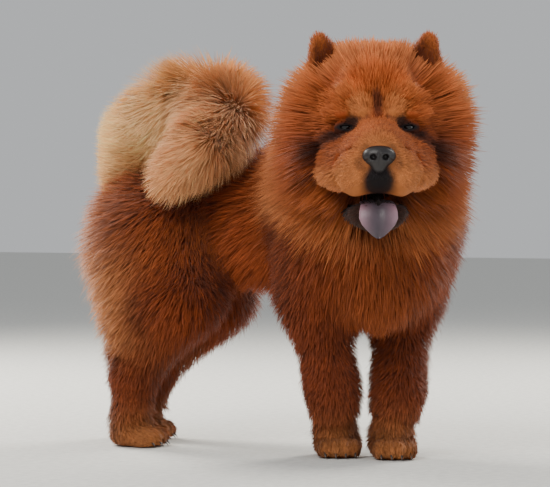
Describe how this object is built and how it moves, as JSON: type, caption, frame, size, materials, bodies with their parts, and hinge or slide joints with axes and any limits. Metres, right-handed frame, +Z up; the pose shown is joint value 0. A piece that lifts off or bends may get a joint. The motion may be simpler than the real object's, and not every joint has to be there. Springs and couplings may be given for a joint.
{
  "type": "chow chow dog",
  "caption": "Life-size standing chow chow dog with a thick mane, open mouth, tongue out, deep-set eyes, small rounded ears and a plumed tail curled over the back.",
  "frame": {"origin": "on the floor, below the middle of the bounding box of the whole animal", "axes": "+Z up, -Y the way the trunk faces, +X the dog's left; the head is turned to the dog's right"},
  "size_m": [0.447, 0.7846, 0.6715],
  "materials": {
    "ear_fur": "matte",
    "eye": "wet",
    "paw_fur": "matte",
    "claw": "satin",
    "red_fur": "matte",
    "mane_fur": "matte",
    "nose": "damp",
    "pale_fur": "matte",
    "tongue": "wet"
  },
  "bodies": {
    "root": {"ear_left": "ear_fur", "ear_right": "ear_fur", "eye_left": "eye", "eye_right": "eye", "fore_paw_left": "paw_fur", "fore_paw_left_claw_1": "claw", "fore_paw_left_claw_2": "claw", "fore_paw_left_claw_3": "claw", "fore_paw_left_claw_4": "claw", "fore_paw_right": "paw_fur", "fore_paw_right_claw_1": "claw", "fore_paw_right_claw_2": "claw", "fore_paw_right_claw_3": "claw", "fore_paw_right_claw_4": "claw", "foreleg_lower_left": "red_fur", "foreleg_lower_right": "red_fur", "foreleg_upper_left": "red_fur", "foreleg_upper_right": "red_fur", "head": "mane_fur", "hind_paw_left": "paw_fur", "hind_paw_left_claw_1": "claw", "hind_paw_left_claw_2": "claw", "hind_paw_left_claw_3": "claw", "hind_paw_left_claw_4": "claw", "hind_paw_right": "paw_fur", "hind_paw_right_claw_1": "claw", "hind_paw_right_claw_2": "claw", "hind_paw_right_claw_3": "claw", "hind_paw_right_claw_4": "claw", "hindleg_lower_left": "red_fur", "hindleg_lower_right": "red_fur", "hindleg_upper_left": "red_fur", "hindleg_upper_right": "red_fur", "jaw": "red_fur", "neck": "mane_fur", "nose": "nose", "tail_base": "pale_fur", "tail_plume": "pale_fur", "tongue": "tongue", "torso": "red_fur"}
  },
  "joints": []
}
